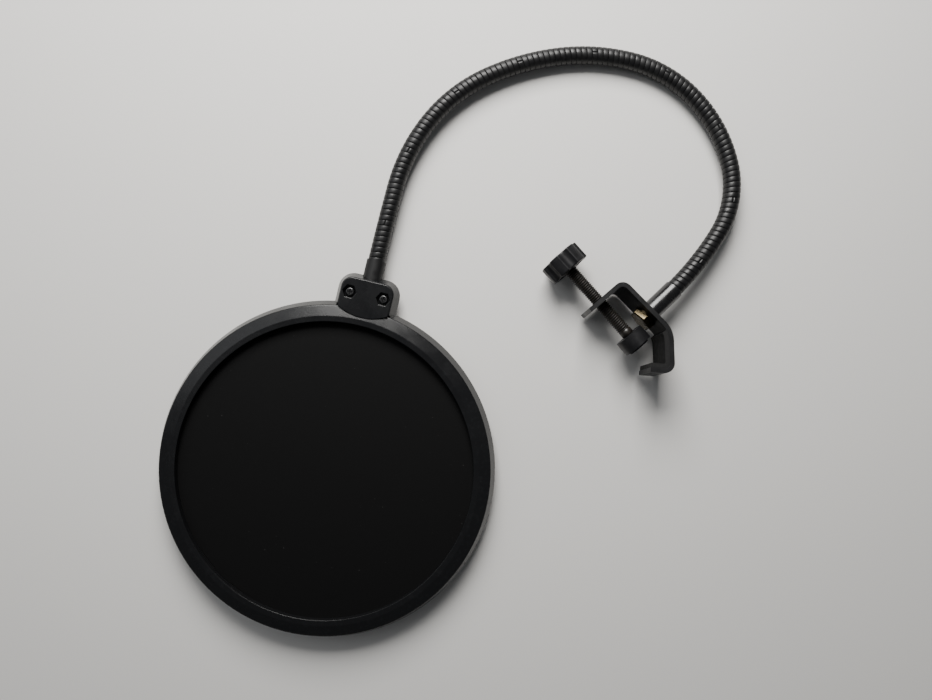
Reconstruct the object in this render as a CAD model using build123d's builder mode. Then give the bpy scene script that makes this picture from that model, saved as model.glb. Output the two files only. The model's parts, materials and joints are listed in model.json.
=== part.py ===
from build123d import *
import os
from math import atan2, cos, degrees, hypot, pi, radians, sin, sqrt

# Clip-on pop filter: two stretched nylon screens in a split ring, held by a wound gooseneck
# on a screw clamp.  Millimetres.  The origin is the centre of the ring on the plane its rear
# face lies on, +Z is the ring's axis and +Y runs from the ring out along the neck socket.

# --- ring -------------------------------------------------------------------------------
ring_radius = 77.5          # at the seam between the two halves, the widest place
half_height = 6.8           # seam to the highest line of each half
side_draft = 2.3            # how much the side slopes in between seam and face
side_height = 5.6           # seam to the face's outer edge
face_edge_round = 0.6
face_width = 9.9            # ring's side to the inside of the rounded lip
lip_round = 1.7             # rounding of the lip round the opening
face_land = 0.8             # flat ring at the top of the face, which it rests on
lip_width = 3.0             # the ledge that presses on the screen
wall = 2.0
screen_level = 3.4          # outer side of each screen, above or below the seam
screen_thickness = 0.25
screen_edge = 1.0           # how far the screen runs past the ledge
hoop_width = 3.2
hoop_clearance = 0.2
rib_count = 12
rib_width = 1.2
peg_count = 9
peg_radius = 0.8
peg_post_radius = 1.5
peg_length = 2.2
post_overlap = 0.3          # post past the roof, so that the two join
peg_first, peg_span = 120, 300      # degrees, leaving the socket free
fit_clearance = 0.05
roof_drop = 0.6             # roof at the side wall, below the face's thickness there

# --- neck socket on the ring ------------------------------------------------------------
tab_width = 28.8            # at the seam
tab_length = 13.3           # past the ring's side
tab_corner = 7.2
tab_top = 6.75              # seam to the socket's flat
tab_bevel = 0.5
flat_bulge = 3.1            # the flat's rounded inner end
screw_spacing = 15.6
screw_setout = 4.1          # past the ring's side
screw_radius = 1.25
screw_head_rim = 0.65       # head past the shank
screw_head_height = 1.7
screw_head_round = 0.5
pocket_clearance = 0.6      # hexagonal pocket wider than the nut, across flats
pocket_depth = 2.6
nut_wall = 1.25             # thinnest, outside the shank
nut_height = 2.0
cross_width = 0.55          # the driver's cross in each head
cross_length = 2.3
cross_depth = 0.9
flat_overlap = 0.6          # the flat's pad starts this far under the face's edge
block_overlap = 2.2         # the block starts this far outside the ledge
flat_back_reach = 4.0       # the flat's pad runs this far into the block

# --- gooseneck and its two end sleeves --------------------------------------------------
neck_radius = 4.0
wire_depth = 1.4            # of the outer winding
core_clearance = 0.1        # inner spring under the outer winding
neck_length = 34.5          # of each of its lengths, ball centre to ball centre
neck_turn = (1.5, 23, 27, 17.5, 21.5, 33.5, 30, 45, 14)         # degrees, to the right
neck_rise = (-0.6, -0.7, -0.3, 0, 0.3, 0.8, 1.0, 1.4, 3.0)      # degrees, upwards
ball_clearance = 0.1
sleeve_wall = 0.45
sleeve_clearance = 0.05
sleeve_setout = 20.9        # mouth past the ring's side
sleeve_grip = 7.8           # neck inside each sleeve
flange_rim = 1.5            # past the sleeve
flange_thickness = 2.5
flange_setback = 0.9        # inside the ring's side
dimple_depth = 0.25
dimple_radius = 1.6
dimple_reach = 4.0          # back from the sleeve's mouth
lower_sleeve_length = 15.2  # from the end of the last bend to the clamp
lower_sleeve_lap = 1.0      # and this far back over the last bend
spring_start_gap = 0.6      # inner spring to the ball behind it
spring_end_gap = 1.2        # inner spring to the cup ahead of it
spring_tail_gap = 1.0

# --- clamp ------------------------------------------------------------------------------
strip_thickness = 2.0
strip_width = 19.0
arm_length = 20.7
arm_lean = 2.4              # degrees that the arm stands open past square
spine_length = 31.4         # between the outer corners
ferrule_offset = 19.5       # arm's outer face to the neck's axis
leg_turn = 43.2
leg_length = 19.6
jaw_length = 10.9
jaw_lean = 5.0              # degrees that the jaw is closed past square
arm_bend = 4.5
leg_bend = 12.5
jaw_bend = 4.5
liner_thickness = 2.1
liner_width = 18.6
liner_start = 2.2           # before the spine's outer corner
liner_lap = 0.3             # how far the liner stops short of the jaw's tip
bolt_radius = 3.0
bolt_flats = 10.0
bolt_head = 2.6
bolt_chamfer = 0.5
bolt_tip_gap = 0.4          # bolt's end to the end of the neck
washer_rim = 2.6            # past the bolt's shank
washer_thickness = 1.0
turning_gap = 0.05

# --- thumbscrew, knob and swivel pad ----------------------------------------------------
thread_radius = 2.95
screw_offset = 12.75        # along the arm, spine's outer face to the screw's axis
pad_back = 18.7             # arm's inner face to the pad
knob_gap = 18.45            # arm's outer face to the knob
knob_radius = 9.8
knob_length = 8.5
knob_lobes = 6
knob_scallop = 3.4          # radius of the hollow between two lobes
knob_scallop_sink = 0.45    # share of that radius that cuts into the knob
knob_lobe_round = 0.8
knob_edge_round = 0.6
knob_hollow = 2.6
knob_hub_wall = 1.65        # round the screw
knob_rim = 2.4              # closed end over the screw
knob_wall = 1.45
pad_radius = 6.8
pad_length = 6.6
pad_neck_radius = 2.0
pad_neck_clearance = 0.08
pad_head_radius = 3.1
pad_head_length = 1.2
pad_floor = 3.0
tip_radius = 5.0
tip_length = 0.8
plug_length = 1.0           # tip's spigot inside the pad
pad_gap = 0.1               # between the pad and the screw's head

# --- what follows from these sizes ------------------------------------------------------
seam_z = half_height
opening_radius = ring_radius - face_width
tab_reach = ring_radius + tab_length
screw_reach = ring_radius + screw_setout
screw_head_radius = screw_radius + screw_head_rim
nut_flats = 2 * (screw_radius + nut_wall)
pocket_flats = nut_flats + pocket_clearance
neck_bore = neck_radius - wire_depth
core_radius = neck_bore - core_clearance
sleeve_radius = neck_radius + sleeve_clearance + sleeve_wall
sleeve_mouth = ring_radius + sleeve_setout
flange_radius = sleeve_radius + flange_rim
flange_reach = ring_radius - flange_setback
washer_radius = bolt_radius + washer_rim
thread_hole_radius = thread_radius + fit_clearance
knob_hub_radius = thread_radius + knob_hub_wall


# the drafted block of the neck socket, bevelled round its outer face
block_end = opening_radius + lip_width + block_overlap
draft_height = tab_top - tab_bevel
with BuildPart() as socket_block:
    with BuildSketch(Plane.XY):
        with BuildLine():
            FilletPolyline((tab_width / 2, block_end), (tab_width / 2, tab_reach),
                           (-tab_width / 2, tab_reach), (-tab_width / 2, block_end),
                           radius=tab_corner)
            Line((-tab_width / 2, block_end), (tab_width / 2, block_end))
        make_face()
    extrude(amount=draft_height, taper=degrees(atan2(side_draft, draft_height)))
    extrude(socket_block.faces().sort_by(Axis.Z)[-1], amount=tab_bevel, taper=45)


def peg_places():
    """The pegs go round the ring and leave the socket free."""
    return PolarLocations(ring_radius - wall - peg_post_radius - post_overlap, peg_count,
                          start_angle=peg_first, angular_range=peg_span, endpoint=True)


def screw_places():
    """The two socket screws, either side of the neck."""
    return Locations((-screw_spacing / 2, screw_reach), (screw_spacing / 2, screw_reach))


def half_ring():
    """One half of the ring and socket, seam on z = 0 and its outside upwards."""
    crest = opening_radius + lip_round + face_land
    face_edge = ring_radius - side_draft
    ledge = opening_radius + lip_width
    slope = (half_height - side_height) / (face_edge - crest)
    inner_side = ring_radius - wall
    roof_at_ledge = half_height - slope * (ledge - crest) - wall
    roof_at_side = side_height - wall + roof_drop
    side_at_roof = inner_side - side_draft * roof_at_side / side_height
    with BuildPart() as half:
        with BuildSketch(Plane.XZ) as profile:
            with BuildLine():
                Polyline((ring_radius, 0), (face_edge, side_height), (crest, half_height),
                         (opening_radius, half_height), (opening_radius, screen_level),
                         (ledge, screen_level), (ledge, roof_at_ledge),
                         (side_at_roof, roof_at_side), (inner_side, 0), close=True)
            make_face()
            corners = profile.vertices()
            fillet(corners.sort_by_distance((face_edge, side_height))[0], radius=face_edge_round)
            fillet(corners.sort_by_distance((opening_radius, half_height))[0], radius=lip_round)
        revolve(axis=Axis.Z)

        # neck socket, with a flat that runs a little way over the ring's face
        add(socket_block.part)
        flat_half = tab_width / 2 - side_draft - tab_bevel
        flat_back = sqrt(face_edge ** 2 - flat_half ** 2)
        flat_base = side_height - flat_overlap
        with BuildSketch(Plane.XY.offset(flat_base)):
            with BuildLine():
                ThreePointArc((-flat_half, flat_back), (0, flat_back - flat_bulge),
                              (flat_half, flat_back))
                Polyline((flat_half, flat_back), (flat_half, flat_back + flat_back_reach),
                         (-flat_half, flat_back + flat_back_reach), (-flat_half, flat_back))
            make_face()
        extrude(amount=tab_top - flat_base)

        # half of the seat for the upper sleeve and its flange, from both halves together
        with Locations(Location((0, (sleeve_mouth + flange_reach) / 2, 0), (90, 0, 0))):
            Cylinder(sleeve_radius + fit_clearance, sleeve_mouth - flange_reach, mode=Mode.SUBTRACT)
        with Locations(Location((0, flange_reach + flange_thickness / 2, 0), (90, 0, 0))):
            Cylinder(flange_radius + fit_clearance, flange_thickness + 2 * fit_clearance,
                     mode=Mode.SUBTRACT)
        # screw holes with a hexagonal pocket at the outside
        with screw_places():
            Cylinder(screw_radius + 2 * fit_clearance, 4 * half_height, mode=Mode.SUBTRACT)
        with BuildSketch(Plane.XY.offset(tab_top - pocket_depth)):
            with screw_places():
                RegularPolygon(pocket_flats / 2, 6, major_radius=False)
        extrude(amount=2 * pocket_depth, mode=Mode.SUBTRACT)

        # ribs that centre the hoop, and posts for the pegs
        rib_start = ledge + screen_edge + hoop_clearance
        rib_end = ring_radius - wall
        with PolarLocations((rib_start + rib_end) / 2, rib_count, start_angle=-75):
            Box(rib_end - rib_start, rib_width, roof_at_side, mode=Mode.ADD,
                align=(Align.CENTER, Align.CENTER, Align.MIN))
        with peg_places():
            Cylinder(peg_post_radius, roof_at_side + post_overlap,
                     align=(Align.CENTER, Align.CENTER, Align.MIN))
        # nothing may stand past the seam
        with BuildSketch(Plane.XY):
            Rectangle(4 * ring_radius, 4 * ring_radius)
        extrude(amount=-half_height, mode=Mode.SUBTRACT)
    return half.part


half_shell = half_ring()
mirrored_shell = mirror(half_shell, about=Plane.XY)

with BuildPart() as front_ring:
    add(half_shell.moved(Location((0, 0, seam_z))))
    with BuildSketch(Plane.XY.offset(seam_z + peg_length)):
        with peg_places():
            Circle(peg_radius)
    extrude(amount=-2 * peg_length)
front_ring.part.label = "front_ring"

with BuildPart() as rear_ring:
    add(mirrored_shell.moved(Location((0, 0, seam_z))))
    with BuildSketch(Plane.XY.offset(seam_z)):
        with peg_places():
            Circle(peg_radius + fit_clearance)
    extrude(amount=-(peg_length + post_overlap), mode=Mode.SUBTRACT)
rear_ring.part.label = "rear_ring"

hoop_outer = opening_radius + lip_width + screen_edge
with BuildPart() as spacer_hoop:
    with BuildSketch(Plane.XY.offset(seam_z - screen_level + screen_thickness)):
        Circle(hoop_outer)
        Circle(hoop_outer - hoop_width, mode=Mode.SUBTRACT)
    extrude(amount=2 * (screen_level - screen_thickness))
spacer_hoop.part.label = "spacer_hoop"

with BuildPart() as front_screen:
    with BuildSketch(Plane.XY.offset(seam_z + screen_level - screen_thickness)):
        Circle(hoop_outer)
    extrude(amount=screen_thickness)
front_screen.part.label = "front_screen"

with BuildPart() as rear_screen:
    with BuildSketch(Plane.XY.offset(seam_z - screen_level)):
        Circle(hoop_outer)
    extrude(amount=screen_thickness)
rear_screen.part.label = "rear_screen"

# --- the two socket screws and their nuts -----------------------------------------------
head_seat = seam_z + tab_top - pocket_depth
nut_seat = seam_z - tab_top + pocket_depth
with BuildPart() as tab_screws:
    with BuildSketch(Plane.XY.offset(nut_seat - nut_height)):
        with screw_places():
            Circle(screw_radius)
    extrude(amount=head_seat - nut_seat + nut_height)
    with BuildSketch(Plane.XY.offset(head_seat)):
        with screw_places():
            Circle(screw_head_radius)
    extrude(amount=screw_head_height)
    fillet(tab_screws.edges().group_by(Axis.Z)[-1], radius=screw_head_round)
    with BuildSketch(Plane.XY.offset(head_seat + screw_head_height)):
        with screw_places():
            Rectangle(cross_length, cross_width)
            Rectangle(cross_width, cross_length)
    extrude(amount=-cross_depth, mode=Mode.SUBTRACT)
tab_screws.part.label = "tab_screws"

with BuildPart() as tab_nuts:
    with BuildSketch(Plane.XY.offset(nut_seat - nut_height)):
        with screw_places():
            RegularPolygon(nut_flats / 2, 6, major_radius=False)
            Circle(screw_radius + fit_clearance, mode=Mode.SUBTRACT)
    extrude(amount=nut_height)
tab_nuts.part.label = "tab_nuts"

# --- upper sleeve, captured in the socket by its flange ---------------------------------
with BuildPart() as upper_sleeve:
    with BuildSketch(Plane.YZ):
        with BuildLine():
            Polyline((flange_reach, seam_z), (flange_reach, seam_z + flange_radius),
                     (flange_reach + flange_thickness, seam_z + flange_radius),
                     (flange_reach + flange_thickness, seam_z + sleeve_radius),
                     (sleeve_mouth, seam_z + sleeve_radius),
                     (sleeve_mouth, seam_z + neck_radius + sleeve_clearance),
                     (sleeve_mouth - sleeve_grip, seam_z + neck_radius + sleeve_clearance),
                     (sleeve_mouth - sleeve_grip, seam_z), close=True)
        make_face()
    revolve(axis=Axis((0, 0, seam_z), (0, 1, 0)))
    dimple = sleeve_radius - dimple_depth + dimple_radius
    dimple_y = sleeve_mouth - dimple_reach
    with Locations((-dimple, dimple_y, seam_z), (dimple, dimple_y, seam_z)):
        Sphere(dimple_radius, mode=Mode.SUBTRACT)
upper_sleeve.part.label = "upper_sleeve"


# --- gooseneck --------------------------------------------------------------------------
def bend_plane(start, turn, rise):
    """The plane a length of the neck bends in; it bends from its x_dir towards its y_dir."""
    side = start.x_dir.cross(start.z_dir)
    return Plane(origin=start.origin, x_dir=start.x_dir,
                 z_dir=(start.z_dir * -turn + side * rise).normalized())


def far_end(start, bend, angle):
    """The frame at the end of a length that bends by an angle in the bend plane."""
    radius = neck_length / radians(angle)
    x, y = radius * sin(radians(angle)), radius * (1 - cos(radians(angle)))
    about = Axis((0, 0, 0), bend.z_dir)
    return Plane(origin=bend.from_local_coords((x, y, 0)), x_dir=start.x_dir.rotate(about, angle),
                 z_dir=start.z_dir.rotate(about, angle))


def section_plane(frame):
    """The neck's cross-section, facing the way the neck runs."""
    return Plane(origin=frame.origin, x_dir=frame.z_dir, z_dir=frame.x_dir)


ends = [Plane(origin=(0, sleeve_mouth, seam_z), x_dir=(0, 1, 0), z_dir=(0, 0, 1))]
bends = []
angles = [hypot(turn, rise) for turn, rise in zip(neck_turn, neck_rise)]
for turn, rise, angle in zip(neck_turn, neck_rise, angles):
    bends.append(bend_plane(ends[-1], turn, rise))
    ends.append(far_end(ends[-1], bends[-1], angle))
last = len(neck_turn)

winding, cores = [], []
ball_face = sqrt(neck_radius ** 2 - neck_bore ** 2)
cup_radius = neck_radius + ball_clearance
for number in range(1, last + 1):
    start, bend, angle = ends[number - 1], bends[number - 1], angles[number - 1]
    end = ends[number]
    radius = neck_length / radians(angle)
    centre = Axis(bend.from_local_coords((0, radius, 0)), bend.z_dir)
    with BuildPart() as length:
        with BuildSketch(section_plane(start)):
            Circle(neck_radius)
            Circle(neck_bore, mode=Mode.SUBTRACT)
        revolve(axis=centre, revolution_arc=angle)
        if number == 1:
            with BuildSketch(section_plane(start)):
                Circle(neck_radius)
                Circle(neck_bore, mode=Mode.SUBTRACT)
            extrude(amount=-(sleeve_grip - sleeve_clearance))
        else:
            with Locations(start.origin):
                Sphere(cup_radius, mode=Mode.SUBTRACT)
        if number == last:
            with BuildSketch(section_plane(end)):
                Circle(neck_radius)
                Circle(neck_bore, mode=Mode.SUBTRACT)
            extrude(amount=sleeve_grip - sleeve_clearance)
        else:
            with BuildSketch(Plane(origin=end.origin, x_dir=end.x_dir, z_dir=end.z_dir)):
                with BuildLine():
                    Line((0, neck_bore), (0, neck_radius))
                    RadiusArc((0, neck_radius), (ball_face, neck_bore), neck_radius)
                    Line((ball_face, neck_bore), (0, neck_bore))
                make_face()
            revolve(axis=Axis(end.origin, end.x_dir))
    length.part.label = f"gooseneck_{number}"
    winding.append(length.part)

    # the round-wire inner spring stops short of each ball and cup
    lead_in = 0 if number == 1 else neck_radius + spring_start_gap
    lead_out = 0 if number == last else spring_end_gap
    with BuildPart() as core:
        with BuildSketch(section_plane(start)):
            Circle(core_radius)
        revolve(axis=centre, revolution_arc=angle * (1 - lead_out / neck_length))
        if lead_in:
            with BuildSketch(section_plane(start)):
                Circle(2 * core_radius)
            revolve(axis=centre, revolution_arc=angle * lead_in / neck_length, mode=Mode.SUBTRACT)
        else:
            with BuildSketch(section_plane(start)):
                Circle(core_radius)
            extrude(amount=-(sleeve_grip - spring_tail_gap))
        if number == last:
            with BuildSketch(section_plane(end)):
                Circle(core_radius)
            extrude(amount=sleeve_grip - spring_tail_gap)
    core.part.label = f"inner_spring_{number}"
    cores.append(core.part)
    expected = pi * (neck_radius ** 2 - neck_bore ** 2) * neck_length
    print(f"gooseneck_{number}: bend radius {radius:.0f}, volume {length.part.volume:.0f},"
          f" section times length {expected:.0f}")

# --- clamp: x inwards from the spine's outer face, y along the spine from arm to jaw ------
neck_end = ends[-1]
clamp = Plane(origin=neck_end.origin + neck_end.x_dir * (lower_sleeve_length + turning_gap),
              x_dir=neck_end.x_dir, z_dir=neck_end.z_dir)
across = Plane(origin=clamp.origin, x_dir=clamp.z_dir, z_dir=clamp.x_dir)

with BuildPart() as lower_sleeve:
    with BuildSketch(section_plane(neck_end).offset(-lower_sleeve_lap)):
        Circle(sleeve_radius)
    extrude(amount=lower_sleeve_lap + lower_sleeve_length)
    with BuildSketch(section_plane(neck_end).offset(-lower_sleeve_lap)):
        Circle(neck_radius + sleeve_clearance)
    extrude(amount=lower_sleeve_lap + sleeve_grip, mode=Mode.SUBTRACT)
    with BuildSketch(section_plane(neck_end)):
        Circle(bolt_radius + fit_clearance)
    extrude(amount=lower_sleeve_length, mode=Mode.SUBTRACT)
lower_sleeve.part.label = "lower_sleeve"

washer_seat = strip_thickness + turning_gap
with BuildPart() as swivel_washer:
    with BuildSketch(across.offset(washer_seat)):
        Circle(washer_radius)
        Circle(bolt_radius + fit_clearance, mode=Mode.SUBTRACT)
    extrude(amount=washer_thickness)
swivel_washer.part.label = "swivel_washer"

bolt_tip = lower_sleeve_length - sleeve_grip - bolt_tip_gap
with BuildPart() as swivel_bolt:
    with BuildSketch(across.offset(-turning_gap - bolt_tip)):
        Circle(bolt_radius)
    extrude(amount=bolt_tip + turning_gap + washer_seat + washer_thickness)
    with BuildSketch(across.offset(washer_seat + washer_thickness)):
        RegularPolygon(bolt_flats / 2, 6, major_radius=False)
    extrude(amount=bolt_head)
    crown = swivel_bolt.faces().sort_by(Axis(clamp.origin, clamp.x_dir))[-1]
    chamfer(crown.edges(), length=bolt_chamfer)
swivel_bolt.part.label = "swivel_bolt"

arm_y = -ferrule_offset
arm_dir = (cos(radians(arm_lean)), -sin(radians(arm_lean)))
arm_tip = (arm_length * arm_dir[0], arm_y + arm_length * arm_dir[1])
leg_y = arm_y + spine_length
leg_dir = (sin(radians(leg_turn)), cos(radians(leg_turn)))
jaw_dir = (cos(radians(leg_turn + jaw_lean)), -sin(radians(leg_turn + jaw_lean)))
apex = (leg_length * leg_dir[0], leg_y + leg_length * leg_dir[1])
jaw_tip = (apex[0] + jaw_length * jaw_dir[0], apex[1] + jaw_length * jaw_dir[1])
screw_foot = (screw_offset * arm_dir[0], arm_y + screw_offset * arm_dir[1])


def along_screw(distance):
    """The plane across the screw's axis, this far from the arm's outer face to the jaw."""
    facing = clamp.x_dir * -arm_dir[1] + clamp.y_dir * arm_dir[0]
    inwards = clamp.x_dir * arm_dir[0] + clamp.y_dir * arm_dir[1]
    foot = clamp.from_local_coords((*screw_foot, 0))
    return Plane(origin=foot + facing * distance, x_dir=inwards, z_dir=facing)


with BuildPart() as bracket:
    with BuildSketch(clamp) as strip:
        with BuildLine():
            FilletPolyline(arm_tip, (0, arm_y), (0, leg_y), apex, jaw_tip,
                           radius=[arm_bend, leg_bend, jaw_bend])
            offset(amount=strip_thickness, side=Side.RIGHT)
        make_face()
    extrude(amount=strip_width / 2, both=True)
    with BuildSketch(along_screw(0)):
        Circle(thread_hole_radius)
    extrude(amount=2 * strip_thickness, both=True, mode=Mode.SUBTRACT)
    with BuildSketch(across):
        Circle(bolt_radius + 2 * fit_clearance)
    extrude(amount=2 * strip_thickness, both=True, mode=Mode.SUBTRACT)
bracket.part.label = "bracket"

# rubber liner in the V of leg and jaw
liner_end = (jaw_tip[0] - liner_lap * jaw_dir[0], jaw_tip[1] - liner_lap * jaw_dir[1])


def liner_side(depth):
    """The strip's outline from spine to liner end, to a depth under its outer face."""
    with BuildLine() as side:
        FilletPolyline((0, 0), (0, leg_y), apex, liner_end, radius=[leg_bend, jaw_bend])
        offset(amount=depth, side=Side.RIGHT)
    return make_face(side.edges(), mode=Mode.PRIVATE)


outer_side = liner_side(strip_thickness + liner_thickness)
inner_side = liner_side(strip_thickness)
with BuildPart() as jaw_liner:
    with BuildSketch(clamp):
        add(outer_side)
        add(inner_side, mode=Mode.SUBTRACT)
        with Locations((0, leg_y - liner_start)):
            Rectangle(4 * leg_length, 4 * spine_length, align=(Align.CENTER, Align.MAX),
                      mode=Mode.SUBTRACT)
    extrude(amount=liner_width / 2, both=True)
jaw_liner.part.label = "jaw_liner"

# --- thumbscrew: all along one axis, square to the arm -----------------------------------
pad_at = strip_thickness + pad_back
knob_at = -knob_gap
knob_top = knob_at - knob_length
head_start = pad_at + pad_floor + pad_gap
with BuildPart() as thumbscrew:
    with BuildSketch(along_screw(knob_top + knob_rim)):
        Circle(thread_radius)
    extrude(amount=pad_at - pad_gap - knob_top - knob_rim)
    with BuildSketch(along_screw(pad_at - pad_gap)):
        Circle(pad_neck_radius)
    extrude(amount=pad_floor + 3 * pad_gap)
    with BuildSketch(along_screw(head_start)):
        Circle(pad_head_radius)
    extrude(amount=pad_head_length)
thumbscrew.part.label = "thumbscrew"

cut_centre = knob_radius + knob_scallop * (1 - knob_scallop_sink)
with BuildPart() as knob:
    with BuildSketch(along_screw(knob_top)) as grip:
        Circle(knob_radius)
        with PolarLocations(cut_centre, knob_lobes, start_angle=180 / knob_lobes):
            Circle(knob_scallop, mode=Mode.SUBTRACT)
        fillet(grip.vertices(), radius=knob_lobe_round)
    extrude(amount=knob_length)
    grip_ends = knob.faces().filter_by(GeomType.PLANE).sort_by(Axis(clamp.origin, clamp.y_dir))
    fillet(grip_ends[0].edges() + grip_ends[-1].edges(), radius=knob_edge_round)
    with BuildSketch(along_screw(knob_at)):
        Circle(knob_radius - knob_scallop * knob_scallop_sink - knob_wall)
        Circle(knob_hub_radius, mode=Mode.SUBTRACT)
    extrude(amount=-knob_hollow, mode=Mode.SUBTRACT)
    with BuildSketch(along_screw(knob_top + knob_rim)):
        Circle(thread_radius + fit_clearance)
    extrude(amount=knob_length, mode=Mode.SUBTRACT)
knob.part.label = "knob"

with BuildPart() as swivel_pad:
    with BuildSketch(along_screw(pad_at)):
        Circle(pad_radius)
    extrude(amount=pad_length)
    with BuildSketch(along_screw(pad_at)):
        Circle(pad_neck_radius + pad_neck_clearance)
    extrude(amount=pad_length, mode=Mode.SUBTRACT)
    with BuildSketch(along_screw(pad_at + pad_floor)):
        Circle(pad_head_radius + 2 * pad_gap)
    extrude(amount=pad_length, mode=Mode.SUBTRACT)
swivel_pad.part.label = "swivel_pad"

with BuildPart() as pad_tip:
    with BuildSketch(along_screw(pad_at + pad_length)):
        Circle(tip_radius)
    extrude(amount=tip_length)
    with BuildSketch(along_screw(pad_at + pad_length)):
        Circle(pad_head_radius + pad_gap)
    extrude(amount=-plug_length)
pad_tip.part.label = "pad_tip"

os.makedirs("parts", exist_ok=True)
pieces = [front_ring.part, rear_ring.part, spacer_hoop.part, front_screen.part, rear_screen.part,
          tab_screws.part, tab_nuts.part, upper_sleeve.part, *winding, *cores, lower_sleeve.part,
          swivel_washer.part, swivel_bolt.part, bracket.part, jaw_liner.part, thumbscrew.part,
          knob.part, swivel_pad.part, pad_tip.part]
for piece in pieces:
    export_step(piece, f"parts/{piece.label}.step")
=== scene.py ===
import json
import math

import bmesh
import bpy
import numpy as np
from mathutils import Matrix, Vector


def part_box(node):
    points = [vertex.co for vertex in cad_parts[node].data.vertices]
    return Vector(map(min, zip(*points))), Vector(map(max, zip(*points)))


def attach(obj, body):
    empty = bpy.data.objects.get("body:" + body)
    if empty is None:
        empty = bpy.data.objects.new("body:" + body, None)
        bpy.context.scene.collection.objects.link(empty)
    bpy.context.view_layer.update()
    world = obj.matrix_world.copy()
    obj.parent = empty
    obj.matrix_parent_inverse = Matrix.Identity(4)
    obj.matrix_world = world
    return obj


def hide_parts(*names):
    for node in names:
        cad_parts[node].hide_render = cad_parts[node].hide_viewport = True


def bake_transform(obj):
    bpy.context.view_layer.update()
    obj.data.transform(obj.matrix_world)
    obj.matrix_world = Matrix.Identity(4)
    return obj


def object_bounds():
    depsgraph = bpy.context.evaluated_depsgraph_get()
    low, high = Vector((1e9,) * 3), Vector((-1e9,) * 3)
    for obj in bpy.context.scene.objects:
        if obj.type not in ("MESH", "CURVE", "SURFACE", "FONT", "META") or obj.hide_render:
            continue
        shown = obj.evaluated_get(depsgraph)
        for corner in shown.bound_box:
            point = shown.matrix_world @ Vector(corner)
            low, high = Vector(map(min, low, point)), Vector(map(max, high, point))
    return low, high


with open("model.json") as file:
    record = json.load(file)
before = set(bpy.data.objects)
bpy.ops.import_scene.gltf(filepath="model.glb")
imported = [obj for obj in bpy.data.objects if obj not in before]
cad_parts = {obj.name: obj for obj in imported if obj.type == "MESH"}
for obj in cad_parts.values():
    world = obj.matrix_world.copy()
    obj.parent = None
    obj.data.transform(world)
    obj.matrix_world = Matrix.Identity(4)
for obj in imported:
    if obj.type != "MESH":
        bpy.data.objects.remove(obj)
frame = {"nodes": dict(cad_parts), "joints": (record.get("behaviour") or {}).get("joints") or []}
cad_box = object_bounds()

bl_info = {
    "name": "Gooseneck pop filter",
    "version": (1, 0, 0),
    "blender": (4, 5, 0),
    "location": "3D View > Sidebar > Pop filter",
    "description": "Dresses a pop filter's frame: winding, screens, thread, finishes and stage",
    "category": "Object",
}

MM = 0.001
SHARP_EDGE = 35             # degrees; edges that turn further than this are rounded
JOINTS = {joint["name"]: joint for joint in frame["joints"]}
NECK_LENGTHS = sum(1 for node in frame["nodes"] if node.startswith("gooseneck_"))


# ---------------------------------------------------------------- sizes and colours to change

class NeckSizes(bpy.types.PropertyGroup):
    """The wound arm: an outer wedge-shaped wire over a round one."""
    pitch: bpy.props.FloatProperty(
        name="Pitch", description="Along the arm, from one turn to the next",
        default=2.5 * MM, unit="LENGTH")
    radius: bpy.props.FloatProperty(
        name="Radius", description="Crown of the outer wire", default=4.0 * MM, unit="LENGTH")
    band: bpy.props.FloatProperty(
        name="Band", description="Width of one turn's outer face", default=2.34 * MM,
        unit="LENGTH")
    crown: bpy.props.FloatProperty(
        name="Crown", description="How far the outer face falls away at its edges",
        default=0.13 * MM, unit="LENGTH")
    wire_radius: bpy.props.FloatProperty(
        name="Inner wire radius", description="Round wire of the inner spring",
        default=0.72 * MM, unit="LENGTH")
    wire_centre: bpy.props.FloatProperty(
        name="Inner spring radius", description="Arm's axis to the round wire's centre",
        default=2.7 * MM, unit="LENGTH")
    turn_steps: bpy.props.IntProperty(
        name="Steps in a turn", description="Mesh steps round one turn", default=28, min=12)


class ScreenSizes(bpy.types.PropertyGroup):
    """The stretched nylon screens."""
    weave: bpy.props.FloatProperty(
        name="Weave", description="Thread to thread", default=0.42 * MM, unit="LENGTH")
    crease: bpy.props.FloatProperty(
        name="Crease height", description="Height of the small tension creases",
        default=0.26 * MM, unit="LENGTH")
    rings: bpy.props.IntProperty(
        name="Rings", description="Mesh rings from the middle to the rim", default=60, min=8)
    spokes: bpy.props.IntProperty(
        name="Spokes", description="Mesh steps round the rim", default=288, min=32)


class ThreadSizes(bpy.types.PropertyGroup):
    """The thumbscrew's thread."""
    pitch: bpy.props.FloatProperty(
        name="Pitch", description="Crest to crest", default=1.0 * MM, unit="LENGTH")
    crest: bpy.props.FloatProperty(
        name="Crest radius", description="Outside of the thread", default=2.98 * MM,
        unit="LENGTH")
    root: bpy.props.FloatProperty(
        name="Root radius", description="Bottom of the thread", default=2.42 * MM,
        unit="LENGTH")
    plain: bpy.props.FloatProperty(
        name="Plain end", description="Unthreaded length behind the pad", default=2.6 * MM,
        unit="LENGTH")
    turn_steps: bpy.props.IntProperty(
        name="Steps in a turn", description="Mesh steps round one turn", default=32, min=12)


def colour(name, description, value):
    """A colour a user may change."""
    return bpy.props.FloatVectorProperty(
        name=name, description=description, default=value, subtype="COLOR", size=3,
        min=0, max=1)


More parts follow.
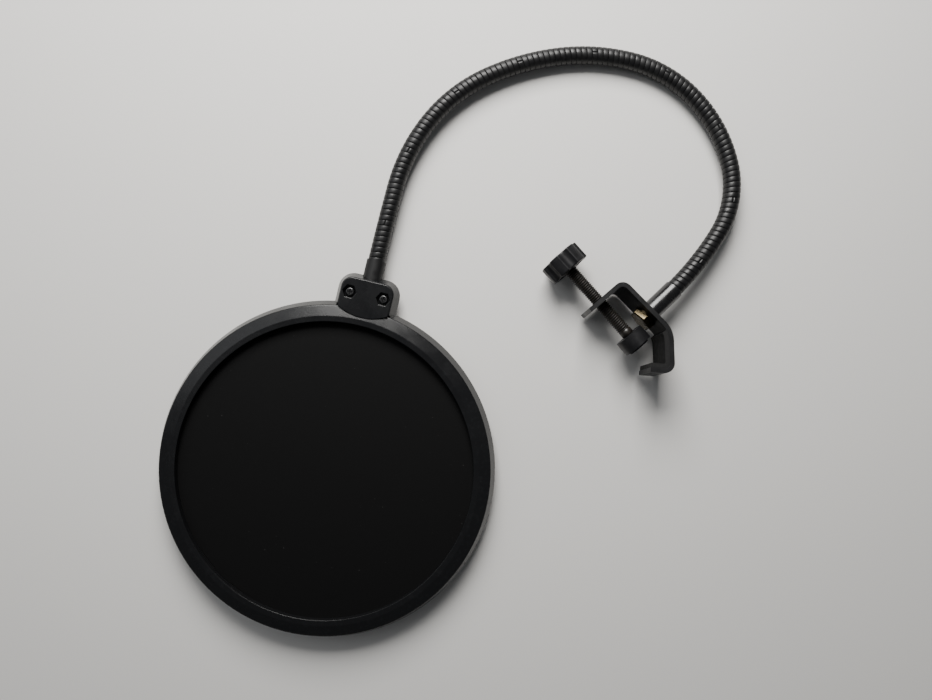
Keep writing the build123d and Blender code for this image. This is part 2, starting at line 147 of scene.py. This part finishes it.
class FinishColours(bpy.types.PropertyGroup):
    """Base colours of the finishes."""
    shell: colour("Shell", "Moulded ring halves", (0.0062, 0.0064, 0.0070))
    nylon: colour("Nylon", "Screen threads", (0.0022, 0.0022, 0.0023))
    winding: colour("Winding", "Outer wire of the arm", (0.006, 0.006, 0.0064))
    spring: colour("Spring", "Inner wire of the arm", (0.012, 0.011, 0.010))
    sleeve: colour("Sleeve", "End sleeves of the arm and socket screws", (0.006, 0.006, 0.0064))
    paint: colour("Paint", "Bracket", (0.009, 0.009, 0.0095))
    rubber: colour("Rubber", "Jaw liner and pad face", (0.007, 0.007, 0.007))
    knob: colour("Knob", "Knob and swivel pad", (0.008, 0.008, 0.0088))
    oxide: colour("Black oxide", "Thumbscrew", (0.011, 0.0095, 0.008))
    brass: colour("Yellow zinc", "Swivel bolt and washer", (0.10, 0.08, 0.047))
    zinc: colour("Zinc", "Nuts", (0.55, 0.55, 0.54))
    floor: colour("Floor", "Table top", (0.70, 0.69, 0.67))


# ---------------------------------------------------------------- small helpers

def vector(values):
    return np.array(values, float)


def unit(values):
    values = vector(values)
    return values / np.linalg.norm(values)


def rotated(values, axis, angle):
    """values turned about axis by each angle."""
    axis = unit(axis)
    cosine, sine = np.cos(angle)[:, None], np.sin(angle)[:, None]
    along = (values @ axis) * axis
    return values * cosine + np.cross(axis, values) * sine + along * (1 - cosine)


def mesh_object(name, vertices, faces, material, smooth=True):
    """A new mesh object from points in metres, with outward normals."""
    mesh = bpy.data.meshes.new(name)
    mesh.from_pydata([tuple(v) for v in vertices], [], faces)
    mesh.validate()
    work = bmesh.new()
    work.from_mesh(mesh)
    bmesh.ops.recalc_face_normals(work, faces=work.faces)
    work.to_mesh(mesh)
    work.free()
    mesh.polygons.foreach_set("use_smooth", [smooth] * len(mesh.polygons))
    mesh.materials.append(material)
    thing = bpy.data.objects.new(name, mesh)
    bpy.context.scene.collection.objects.link(thing)
    return thing


def node_points(node):
    """A CAD node's points, in metres."""
    return np.array([v.co for v in frame["nodes"][node].data.vertices], float)


def span_along(node, origin, axis):
    """Lowest and highest place of a CAD node along an axis through origin."""
    places = (node_points(node) - origin) @ axis
    return places.min(), places.max()


def soften(node, width):
    """Rounds a CAD node's sharp edges with a bevel and keeps its flats flat."""
    thing = frame["nodes"][node]
    bevel = thing.modifiers.new("edge_round", "BEVEL")
    bevel.width = width
    bevel.segments = 2
    bevel.limit_method = "ANGLE"
    bevel.angle_limit = math.radians(SHARP_EDGE)
    bevel.harden_normals = True


# ---------------------------------------------------------------- the arm's centre line

class NeckLine:
    """The arm's centre line as tangent arcs, found from the joints of the frame."""

    def __init__(self):
        sleeve_low, sleeve_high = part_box("upper_sleeve")
        start = vector((0, sleeve_high.y, (sleeve_low.z + sleeve_high.z) / 2))
        knots = [start]
        for number in range(1, NECK_LENGTHS):
            name = f"neck_curl_{number}" if number % 2 == 0 else f"neck_lift_{number}"
            knots.append(vector(JOINTS[name]["pos_m"]))
        swivel = JOINTS["clamp_swivel"]
        axis = unit(swivel["axis"])
        foot = vector(swivel["pos_m"])
        knots.append(foot + axis * span_along("lower_sleeve", foot, axis)[0])
        self.arcs = []
        along = 0.0
        tangent, side = vector((0, 1, 0)), vector((0, 0, 1))
        for here, there in zip(knots, knots[1:]):
            chord = there - here
            reach = np.linalg.norm(chord)
            half = math.acos(min(1.0, float(chord @ tangent) / reach))
            radius = reach / (2 * math.sin(half))
            inward = unit(chord - (chord @ tangent) * tangent)
            length = radius * 2 * half
            self.arcs.append((along, length, here, tangent, side, inward, radius))
            about = np.cross(tangent, inward)
            turn = np.array([2 * half])
            tangent = rotated(tangent, about, turn)[0]
            side = rotated(side, about, turn)[0]
            along += length
        self.length = along

    def middle(self, number):
        """Place along the line of the middle of a length, counted from 1."""
        along, length = self.arcs[number - 1][:2]
        return along + length / 2

    def frames(self, places):
        """Points, tangents and two cross directions at places along the line."""
        places = np.asarray(places, float)
        point, tangent = np.zeros((len(places), 3)), np.zeros((len(places), 3))
        side = np.zeros((len(places), 3))
        last = len(self.arcs) - 1
        for number, (along, length, here, ahead, up, inward, radius) in enumerate(self.arcs):
            after = places >= along if number else np.ones(len(places), bool)
            before = places < along + length if number < last else np.ones(len(places), bool)
            chosen = after & before
            local = places[chosen] - along
            inside = np.clip(local, 0, length)
            angle = inside / radius
            about = np.cross(ahead, inward)
            forward = rotated(ahead, about, angle)
            arc = here + radius * (np.sin(angle)[:, None] * ahead
                                   + (1 - np.cos(angle))[:, None] * inward)
            point[chosen] = arc + (local - inside)[:, None] * forward
            tangent[chosen] = forward
            side[chosen] = rotated(up, about, angle)
        return point, tangent, side, np.cross(tangent, side)


class StraightLine:
    """The same for a straight rod."""

    def __init__(self, origin, axis):
        self.origin, self.axis = vector(origin), unit(axis)
        self.side = unit(np.cross(self.axis, (0.0, 0.0, 1.0)))

    def frames(self, places):
        count = len(places)
        tangent = np.tile(self.axis, (count, 1))
        side = np.tile(self.side, (count, 1))
        point = self.origin + np.asarray(places, float)[:, None] * self.axis
        return point, tangent, side, np.cross(tangent, side)


def helical_wire(line, profile, pitch, first_turn, last_turn, steps, shift=0.0):
    """Points and faces of a wire of a given profile wound round a line, closed at its ends.
    profile is a ring of (place along the line, distance from it)."""
    count = int(round((last_turn - first_turn) * steps)) + 1
    turns = np.linspace(first_turn, last_turn, count)
    ring = len(profile)
    points = np.zeros((count, ring, 3))
    for index, (offset, distance) in enumerate(profile):
        base, _, side, across = line.frames(turns * pitch + offset + shift)
        angle = 2 * math.pi * turns
        points[:, index] = base + distance * (np.cos(angle)[:, None] * side
                                              + np.sin(angle)[:, None] * across)
    faces = []
    for row in range(count - 1):
        for index in range(ring):
            after = (index + 1) % ring
            faces.append((row * ring + index, row * ring + after,
                          (row + 1) * ring + after, (row + 1) * ring + index))
    faces.append(tuple(range(ring)))
    faces.append(tuple((count - 1) * ring + index for index in reversed(range(ring))))
    return points.reshape(-1, 3), faces


def lathe(line, outline, steps):
    """Points and faces of a solid turned about a line; outline is (place, radius) rows."""
    places = [place for place, _ in outline]
    base, _, side, across = line.frames(places)
    angle = np.linspace(0, 2 * math.pi, steps, endpoint=False)
    around = np.cos(angle)[:, None, None] * side + np.sin(angle)[:, None, None] * across
    radii = np.array([radius for _, radius in outline])
    points = (base + around * radii[:, None]).transpose(1, 0, 2)
    faces = []
    for row in range(len(outline) - 1):
        for step in range(steps):
            after = (step + 1) % steps
            faces.append((row * steps + step, row * steps + after,
                          (row + 1) * steps + after, (row + 1) * steps + step))
    faces.append(tuple(range(steps)))
    faces.append(tuple((len(outline) - 1) * steps + step for step in reversed(range(steps))))
    return points.reshape(-1, 3), faces


def joined(*shapes):
    """Several (points, faces) as one."""
    points, faces = [], []
    for shape_points, shape_faces in shapes:
        start = sum(len(group) for group in points)
        points.append(shape_points)
        faces += [tuple(corner + start for corner in face) for face in shape_faces]
    return np.vstack(points), faces


# ---------------------------------------------------------------- finishes

class Finish:
    """One procedural material, built up from a shader and a few textures."""

    def __init__(self, name, base, roughness, metallic=0.0, specular=0.5):
        self.material = bpy.data.materials.new(name)
        self.material.use_nodes = True
        self.tree = self.material.node_tree
        self.shader = self.tree.nodes["Principled BSDF"]
        self.base = tuple(base)
        self.set("Base Color", (*self.base, 1))
        self.set("Roughness", roughness)
        self.set("Metallic", metallic)
        self.set("Specular IOR Level", specular)
        self.place = self.tree.nodes.new("ShaderNodeTexCoord").outputs["Object"]
        self.height = None

    def set(self, socket, value):
        self.shader.inputs[socket].default_value = value

    def add(self, kind, **values):
        node = self.tree.nodes.new(kind)
        for key, value in values.items():
            if key in node.inputs:
                node.inputs[key].default_value = value
            else:
                setattr(node, key, value)
        return node

    def link(self, source, target):
        self.tree.links.new(source, target)

    def noise(self, size, detail=3.0):
        """Noise with features of about a size in metres."""
        node = self.add("ShaderNodeTexNoise", Scale=1 / size, Detail=detail)
        self.link(self.place, node.inputs["Vector"])
        return node.outputs["Fac"]

    def ramp(self, source, low, high, out_low, out_high):
        node = self.add("ShaderNodeMapRange")
        node.inputs["From Min"].default_value = low
        node.inputs["From Max"].default_value = high
        node.inputs["To Min"].default_value = out_low
        node.inputs["To Max"].default_value = out_high
        self.link(source, node.inputs["Value"])
        return node.outputs["Result"]

    def vary_colour(self, source, other, low=0.35, high=0.65):
        """Base colour goes from the finish's own to another where source is high."""
        mix = self.add("ShaderNodeMix", data_type="RGBA")
        colour_sockets = [socket for socket in mix.inputs if socket.type == "RGBA"]
        colour_sockets[0].default_value = (*self.base, 1)
        colour_sockets[1].default_value = (*other, 1)
        self.link(self.ramp(source, low, high, 0, 1), mix.inputs["Factor"])
        result = [socket for socket in mix.outputs if socket.type == "RGBA"][0]
        self.link(result, self.shader.inputs["Base Color"])

    def vary_roughness(self, source, rough_low, rough_high, low=0.35, high=0.65):
        self.link(self.ramp(source, low, high, rough_low, rough_high),
                  self.shader.inputs["Roughness"])

    def bump(self, source, distance, strength=1.0):
        """Stacks one more layer of relief, distance deep in metres."""
        node = self.add("ShaderNodeBump", Strength=strength, Distance=distance)
        self.link(source, node.inputs["Height"])
        if self.height is not None:
            self.link(self.height, node.inputs["Normal"])
        self.height = node.outputs["Normal"]
        self.link(self.height, self.shader.inputs["Normal"])

    def rounded(self, radius):
        """Shades edges and small rounds as if they were blended over a radius in metres."""
        node = self.add("ShaderNodeBevel", samples=8)
        node.inputs["Radius"].default_value = radius
        self.height = node.outputs["Normal"]

    def waves(self, pitch, direction):
        """Even waves of a pitch in metres along one axis."""
        node = self.add("ShaderNodeTexWave", wave_type="BANDS", bands_direction=direction,
                        wave_profile="SIN")
        node.inputs["Scale"].default_value = math.pi / (10 * pitch)
        node.inputs["Distortion"].default_value = 0.0
        self.link(self.place, node.inputs["Vector"])
        return node.outputs["Fac"]

    def combined(self, first, second, operation):
        node = self.add("ShaderNodeMath", operation=operation)
        self.link(first, node.inputs[0])
        self.link(second, node.inputs[1])
        return node.outputs["Value"]


def lighter(base, times):
    return tuple(min(1.0, part * times) for part in base)


def shell_plastic(colours):
    """Moulded plastic: fine spark grain, a little handling gloss and faint dust."""
    finish = Finish("shell_plastic", colours.shell, 0.26, specular=0.34)
    finish.vary_roughness(finish.noise(9 * MM, 4), 0.22, 0.30)
    finish.vary_colour(finish.noise(1.6 * MM, 6), lighter(colours.shell, 1.6), 0.52, 0.82)
    finish.rounded(0.5 * MM)
    finish.bump(finish.noise(0.45 * MM, 4), 0.02 * MM, 0.3)
    finish.bump(finish.noise(11 * MM, 2), 0.06 * MM, 0.3)
    return finish.material


def screen_nylon(colours, weave):
    """Plain-woven nylon: crossing threads, matt, with a few specks of lint."""
    finish = Finish("screen_nylon", colours.nylon, 0.62, specular=0.14)
    warp, weft = finish.waves(weave, "X"), finish.waves(weave, "Y")
    threads = finish.combined(warp, weft, "MAXIMUM")
    finish.vary_colour(finish.noise(0.9 * MM, 1), (0.07, 0.07, 0.07), 0.80, 0.85)
    finish.vary_roughness(finish.noise(0.8 * MM, 2), 0.64, 0.70)
    finish.bump(threads, 0.05 * MM, 0.35)
    return finish.material


def winding_metal(colours):
    """Semi-gloss black wire, a little rubbed."""
    finish = Finish("neck_winding", colours.winding, 0.42, specular=0.36)
    finish.vary_roughness(finish.noise(5 * MM, 5), 0.34, 0.48)
    finish.vary_colour(finish.noise(1.8 * MM, 5), lighter(colours.winding, 2.4), 0.55, 0.85)
    finish.bump(finish.noise(0.7 * MM, 3), 0.015 * MM, 0.3)
    return finish.material


def spring_metal(colours):
    """Oiled round wire."""
    finish = Finish("neck_spring", colours.spring, 0.45, metallic=0.6)
    finish.vary_roughness(finish.noise(2 * MM, 3), 0.38, 0.56)
    finish.bump(finish.noise(0.4 * MM, 2), 0.01 * MM, 0.4)
    return finish.material


def sleeve_matt(colours):
    """Matt black sleeve in the ring's socket."""
    finish = Finish("sleeve_matt", colours.sleeve, 0.48, specular=0.35)
    finish.vary_roughness(finish.noise(3 * MM, 4), 0.40, 0.58)
    finish.bump(finish.noise(0.5 * MM, 3), 0.02 * MM, 0.4)
    return finish.material


def sleeve_gloss(colours):
    """Satin black plated sleeve at the clamp."""
    finish = Finish("sleeve_gloss", colours.sleeve, 0.24, specular=0.6)
    finish.vary_roughness(finish.noise(4 * MM, 4), 0.18, 0.32)
    finish.bump(finish.noise(1.2 * MM, 3), 0.010 * MM, 0.25)
    return finish.material


def bracket_paint(colours):
    """Satin black paint with a light orange peel and rubbed spots."""
    finish = Finish("bracket_paint", colours.paint, 0.40, specular=0.28)
    finish.vary_roughness(finish.noise(6 * MM, 5), 0.32, 0.48)
    finish.vary_colour(finish.noise(2.2 * MM, 6), lighter(colours.paint, 2.0), 0.58, 0.85)
    finish.bump(finish.noise(1.1 * MM, 3), 0.02 * MM, 0.3)
    return finish.material


def liner_rubber(colours):
    """Matt rubber with a fine moulded texture."""
    finish = Finish("liner_rubber", colours.rubber, 0.7, specular=0.25)
    finish.vary_roughness(finish.noise(3 * MM, 4), 0.62, 0.80)
    finish.vary_colour(finish.noise(1.0 * MM, 5), lighter(colours.rubber, 1.8), 0.5, 0.8)
    finish.bump(finish.noise(0.35 * MM, 4), 0.02 * MM, 0.5)
    return finish.material


def knob_plastic(colours):
    """Satin moulded knob."""
    finish = Finish("knob_plastic", colours.knob, 0.38, specular=0.32)
    finish.vary_roughness(finish.noise(4 * MM, 4), 0.32, 0.48)
    finish.vary_colour(finish.noise(1.4 * MM, 5), lighter(colours.knob, 1.7), 0.54, 0.84)
    finish.bump(finish.noise(0.5 * MM, 3), 0.02 * MM, 0.35)
    return finish.material


def black_oxide(colours):
    """Oiled black oxide on steel, brownish in places."""
    finish = Finish("black_oxide", colours.oxide, 0.38, metallic=0.2)
    finish.vary_roughness(finish.noise(1.6 * MM, 5), 0.28, 0.48)
    finish.vary_colour(finish.noise(1.1 * MM, 5), (0.026, 0.018, 0.013), 0.5, 0.8)
    finish.bump(finish.noise(0.3 * MM, 3), 0.01 * MM, 0.4)
    return finish.material


def black_screws(colours):
    """Glossy black plating of the socket screws."""
    finish = Finish("black_screws", colours.sleeve, 0.26, specular=1.0)
    finish.vary_roughness(finish.noise(0.8 * MM, 4), 0.20, 0.34)
    finish.bump(finish.noise(0.4 * MM, 3), 0.01 * MM, 0.4)
    return finish.material


def plated(name, base, mottle):
    """Plated steel with a fine grain and a mottled passivation, darker where mottled."""
    finish = Finish(name, base, 0.26, metallic=1.0)
    finish.vary_roughness(finish.noise(2.5 * MM, 4), 0.22, 0.34)
    finish.vary_colour(finish.noise(4.0 * MM, 3), lighter(base, mottle), 0.40, 0.75)
    finish.bump(finish.noise(0.3 * MM, 2), 0.004 * MM, 0.3)
    return finish.material


def table_top(colours):
    """Plain pale table top."""
    finish = Finish("table_top", colours.floor, 0.62, specular=0.3)
    finish.vary_roughness(finish.noise(3 * MM, 3), 0.61, 0.65)
    finish.bump(finish.noise(1.5 * MM, 3), 0.02 * MM, 0.15)
    return finish.material


def dress(material, *nodes):
    """Gives CAD nodes a finish."""
    for node in nodes:
        slots = frame["nodes"][node].data.materials
        if len(slots):
            for index in range(len(slots)):
                slots[index] = material
        else:
            slots.append(material)


# ---------------------------------------------------------------- operators

class FILTER_OT_stage(bpy.types.Operator):
    """Camera, table top and soft lights"""
    bl_idname = "filter.stage"
    bl_label = "Stage"

    CAMERA_AT = (49.6 * MM, 68.1 * MM, 331.5 * MM)
    CAMERA_ROLL = 13.5
    LENS = 27.2
    SENSOR = 36
    TABLE_HALF = 3.0
    ROOM_STRENGTH = 0.10

    def execute(self, context):
        scene = context.scene
        colours = scene.filter_colours
        data = bpy.data.cameras.new("camera")
        data.lens = self.LENS
        data.sensor_width = self.SENSOR
        data.clip_start = 0.01
        data.dof.use_dof = False
        camera = bpy.data.objects.new("camera", data)
        camera.location = self.CAMERA_AT
        camera.rotation_euler = (0, 0, math.radians(self.CAMERA_ROLL))
        scene.collection.objects.link(camera)
        scene.camera = camera

        half = self.TABLE_HALF
        floor = mesh_object("table_top", [(-half, -half, 0), (half, -half, 0),
                                          (half, half, 0), (-half, half, 0)],
                            [(0, 1, 2, 3)], table_top(colours), smooth=False)
        self.light(scene, "window", azimuth=107, elevation=41, distance=0.56, size=0.32,
                   power=7.0, tint=(1.0, 0.985, 0.96))
        self.light(scene, "sky", azimuth=160, elevation=45, distance=1.3, size=0.9,
                   power=3.0, tint=(0.96, 0.98, 1.0))
        world = bpy.data.worlds.new("room")
        world.use_nodes = True
        world.node_tree.nodes["Background"].inputs["Color"].default_value = (0.93, 0.96, 1, 1)
        world.node_tree.nodes["Background"].inputs["Strength"].default_value = self.ROOM_STRENGTH
        scene.world = world
        return {"FINISHED"}

    @staticmethod
    def light(scene, name, azimuth, elevation, distance, size, power, tint):
        """A square soft light that looks at the middle of the object."""
        data = bpy.data.lights.new(name, "AREA")
        data.shape = "SQUARE"
        data.size = size
        data.energy = power
        data.color = tint
        lamp = bpy.data.objects.new(name, data)
        turn, rise = math.radians(azimuth), math.radians(elevation)
        away = Vector((math.cos(turn) * math.cos(rise), math.sin(turn) * math.cos(rise),
                       math.sin(rise)))
        lamp.location = (cad_box[0] + cad_box[1]) / 2 + away * distance
        lamp.rotation_euler = away.to_track_quat("Z", "Y").to_euler()
        scene.collection.objects.link(lamp)


class FILTER_OT_winding(bpy.types.Operator):
    """The arm's outer wire and inner spring, one piece across each joint"""
    bl_idname = "filter.winding"
    bl_label = "Arm winding"

    DOME = (-0.97, -0.8, -0.5, 0, 0.5, 0.8, 0.97)   # shares of half the band
    DOME_POWER = 2.6                                # flat in the middle, falling at the edges
    EDGE_DROP = 0.10 * MM
    INNER_SHARE = 0.4                               # inner edge of the wedge, of half the band
    SPRING_SIDES = 8
    SPRING_STEPS = 16                               # in a turn
    GRIP = 5 * MM                                   # wound on inside each sleeve

    def execute(self, context):
        sizes = context.scene.filter_neck
        colours = context.scene.filter_colours
        line = NeckLine()
        pitch = sizes.pitch
        half, edge = sizes.band / 2, sizes.radius - sizes.crown
        dome = [(half * share, sizes.radius - sizes.crown * abs(share) ** self.DOME_POWER)
                for share in self.DOME]
        inner = half * self.INNER_SHARE
        wedge = ([(-half, edge - self.EDGE_DROP)] + dome + [(half, edge - self.EDGE_DROP)]
                 + [(inner, sizes.wire_centre), (-inner, sizes.wire_centre)])
        around = np.linspace(0, 2 * math.pi, self.SPRING_SIDES, endpoint=False)
        wire = [(sizes.wire_radius * math.cos(a),
                 sizes.wire_centre + sizes.wire_radius * math.sin(a)) for a in around]
        cuts = [-self.GRIP] + [line.middle(n) for n in range(1, NECK_LENGTHS + 1)]
        cuts.append(line.length + self.GRIP)
        turns = [round(cut / pitch) for cut in cuts]
        winding, spring = winding_metal(colours), spring_metal(colours)
        for number, (first, last) in enumerate(zip(turns, turns[1:])):
            for name, profile, finish, shift, steps, slot in (
                    ("winding", wedge, winding, 0.0, sizes.turn_steps, "neck_winding"),
                    ("spring", wire, spring, pitch / 2, self.SPRING_STEPS, "spring_steel")):
                points, faces = helical_wire(line, profile, pitch, first, last, steps, shift)
                piece = mesh_object(f"{name}_{number}", points, faces, finish)
                self.attach(piece, number, line)
                if number > 0:
                    kind = "gooseneck" if name == "winding" else "inner_spring"
                    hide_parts(f"{kind}_{number}")
        return {"FINISHED"}

    @staticmethod
    def body(number):
        return "head" if number <= 1 else f"neck_{number}"

    def attach(self, piece, number, line):
        """Rides with the head or the last length at the two ends; elsewhere it stays where it
        is, with no parent.
        """
        if number == 0:
            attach(piece, "head")
        elif number == NECK_LENGTHS:
            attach(piece, self.body(NECK_LENGTHS))
        else:
            start, end = line.frames([line.middle(number), line.middle(number + 1)])[0]
            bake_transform(piece)


class FILTER_OT_screens(bpy.types.Operator):
    """The two stretched nylon screens"""
    bl_idname = "filter.screens"
    bl_label = "Screens"

    # each crease: its foot near the rim and its inner end, both (share of the radius, degrees),
    # and its share of the crease height
    CREASES = (((0.955, 127), (0.86, 150), 1.0), ((0.94, 140), (0.87, 163), 0.8),
               ((0.95, 243), (0.93, 257), 0.6))
    CREASE_WIDTH = 0.9 * MM
    FLAT_FROM, FADE_OVER = 0.955, 0.03      # shares of the radius; flat where it is gripped

    def execute(self, context):
        sizes = context.scene.filter_screen
        material = screen_nylon(context.scene.filter_colours, sizes.weave)
        for node, outward in (("front_screen", 1), ("rear_screen", -1)):
            low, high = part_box(node)
            radius = (high.x - low.x) / 2
            level = (low.z + high.z) / 2
            piece = self.disc(node + "_cloth", radius, level, outward, sizes, material)
            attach(piece, "head")
            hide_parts(node)
        return {"FINISHED"}

    def disc(self, name, radius, level, outward, sizes, material):
        """A round sheet on a polar grid, with small creases running in from its rim."""
        shares = np.linspace(0, 1, sizes.rings + 1)[1:]
        angles = np.linspace(0, 2 * math.pi, sizes.spokes, endpoint=False)
        share, angle = np.meshgrid(shares, angles, indexing="ij")
        x, y = radius * share * np.cos(angle), radius * share * np.sin(angle)
        lift = np.zeros_like(x)
        for (foot, foot_at), (tip, tip_at), height in self.CREASES:
            ends = [radius * near * np.array([math.cos(math.radians(at)),
                                              math.sin(math.radians(at))])
                    for near, at in ((foot, foot_at), (tip, tip_at))]
            run = ends[1] - ends[0]
            along = ((x - ends[0][0]) * run[0] + (y - ends[0][1]) * run[1]) / (run @ run)
            held = np.clip(along, 0, 1)
            off = np.hypot(x - ends[0][0] - held * run[0], y - ends[0][1] - held * run[1])
            lift += height * sizes.crease * (1 - held) * np.exp(-(off / self.CREASE_WIDTH) ** 2)
        lift *= np.clip((self.FLAT_FROM - share) / self.FADE_OVER, 0, 1)
        points = [(0, 0, level)]
        points += list(zip(x.ravel(), y.ravel(), (level + outward * lift).ravel()))
        faces = [(0, 1 + step, 1 + (step + 1) % sizes.spokes) for step in range(sizes.spokes)]
        for ring in range(sizes.rings - 1):
            start = 1 + ring * sizes.spokes
            for step in range(sizes.spokes):
                after = (step + 1) % sizes.spokes
                faces.append((start + step, start + sizes.spokes + step,
                              start + sizes.spokes + after, start + after))
        return mesh_object(name, points, faces, material)


class FILTER_OT_thumbscrew(bpy.types.Operator):
    """The threaded rod of the clamp"""
    bl_idname = "filter.thumbscrew"
    bl_label = "Thumbscrew"

    SHOULDER = -0.1 * MM            # end of the rod, from the pad's near face
    CREST_FLAT = 0.07 * MM          # half the crest's width
    WIRE_DEPTH = 0.4 * MM           # thread sunk under its root
    WIRE_SHARE = 0.6
    IN_KNOB = 4 * MM
    SHANK_DROP = 0.12 * MM          # plain end under the crests
    RUN_OUT = 0.5 * MM
    CHAMFER = 0.3 * MM
    NECK_RADIUS, NECK_END = 2.0 * MM, 3.0 * MM
    HEAD_RADIUS, HEAD_START = 3.0 * MM, 3.1 * MM
    ROD_SIDES = 40

    def execute(self, context):
        sizes = context.scene.filter_thread
        turn = JOINTS["thumbscrew_turn"]
        origin, axis = vector(turn["pos_m"]), unit(turn["axis"])
        line = StraightLine(origin, axis)
        tail, nose = span_along("thumbscrew", origin, axis)
        shoulder = self.SHOULDER
        knob_end = span_along("knob", origin, axis)[1]
        thread_end = shoulder - sizes.plain
        flank = sizes.pitch / 2
        sunk = sizes.root - self.WIRE_DEPTH
        profile = [(-flank, sizes.root), (-self.CREST_FLAT, sizes.crest),
                   (self.CREST_FLAT, sizes.crest), (flank, sizes.root),
                   (flank * self.WIRE_SHARE, sunk), (-flank * self.WIRE_SHARE, sunk)]
        first = math.ceil((knob_end - self.IN_KNOB) / sizes.pitch)
        last = math.floor(thread_end / sizes.pitch)
        thread = helical_wire(line, profile, sizes.pitch, first, last, sizes.turn_steps)
        run_out = last * sizes.pitch
        shank = sizes.crest - self.SHANK_DROP
        rod = lathe(line, [(tail, sizes.root), (run_out, sizes.root),
                           (run_out + self.RUN_OUT, shank),
                           (shoulder - self.CHAMFER, shank), (shoulder, shank - self.CHAMFER),
                           (shoulder, self.NECK_RADIUS), (self.NECK_END, self.NECK_RADIUS),
                           (self.HEAD_START, self.HEAD_RADIUS), (nose, self.HEAD_RADIUS)],
                    self.ROD_SIDES)
        points, faces = joined(thread, rod)
        piece = mesh_object("threaded_rod", points, faces,
                            black_oxide(context.scene.filter_colours))
        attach(piece, "thumbscrew")
        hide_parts("thumbscrew")
        return {"FINISHED"}


class FILTER_OT_ring(bpy.types.Operator):
    """Finishes of the ring, its socket and fasteners"""
    bl_idname = "filter.ring"
    bl_label = "Ring"

    def execute(self, context):
        colours = context.scene.filter_colours
        dress(shell_plastic(colours), "front_ring", "rear_ring", "spacer_hoop")
        dress(sleeve_matt(colours), "upper_sleeve")
        dress(black_screws(colours), "tab_screws")
        dress(plated("zinc_plate", colours.zinc, 0.8), "tab_nuts")
        return {"FINISHED"}


class FILTER_OT_clamp(bpy.types.Operator):
    """Finishes of the clamp"""
    bl_idname = "filter.clamp"
    bl_label = "Clamp"

    def execute(self, context):
        colours = context.scene.filter_colours
        dress(bracket_paint(colours), "bracket")
        dress(liner_rubber(colours), "jaw_liner", "pad_tip")
        dress(knob_plastic(colours), "knob", "swivel_pad")
        dress(sleeve_gloss(colours), "lower_sleeve")
        dress(plated("yellow_zinc", colours.brass, 0.75), "swivel_bolt", "swivel_washer")
        soften("bracket", 0.45 * MM)
        soften("jaw_liner", 0.35 * MM)
        soften("swivel_pad", 0.4 * MM)
        soften("pad_tip", 0.4 * MM)
        return {"FINISHED"}


OPERATORS = (FILTER_OT_stage, FILTER_OT_winding, FILTER_OT_screens, FILTER_OT_thumbscrew,
             FILTER_OT_ring, FILTER_OT_clamp)


class FILTER_PT_panel(bpy.types.Panel):
    """Lists the pieces in the 3D view's sidebar"""
    bl_idname = "FILTER_PT_panel"
    bl_label = "Pop filter"
    bl_space_type = "VIEW_3D"
    bl_region_type = "UI"
    bl_category = "Pop filter"

    def draw(self, context):
        for operator in OPERATORS:
            self.layout.operator(operator.bl_idname)
        for group in ("filter_neck", "filter_screen", "filter_thread", "filter_colours"):
            settings = getattr(context.scene, group)
            box = self.layout.box()
            for name in settings.__annotations__:
                box.prop(settings, name)


GROUPS = (("filter_neck", NeckSizes), ("filter_screen", ScreenSizes),
          ("filter_thread", ThreadSizes), ("filter_colours", FinishColours))


def register():
    for name, group in GROUPS:
        bpy.utils.register_class(group)
        setattr(bpy.types.Scene, name, bpy.props.PointerProperty(type=group))
    for item in (*OPERATORS, FILTER_PT_panel):
        bpy.utils.register_class(item)


def unregister():
    for item in reversed((*OPERATORS, FILTER_PT_panel)):
        bpy.utils.unregister_class(item)
    for name, group in reversed(GROUPS):
        delattr(bpy.types.Scene, name)
        bpy.utils.unregister_class(group)


def main():
    register()
    for operator in OPERATORS:
        group, name = operator.bl_idname.split(".")
        getattr(getattr(bpy.ops, group), name)()


if __name__ == "__main__":
    main()
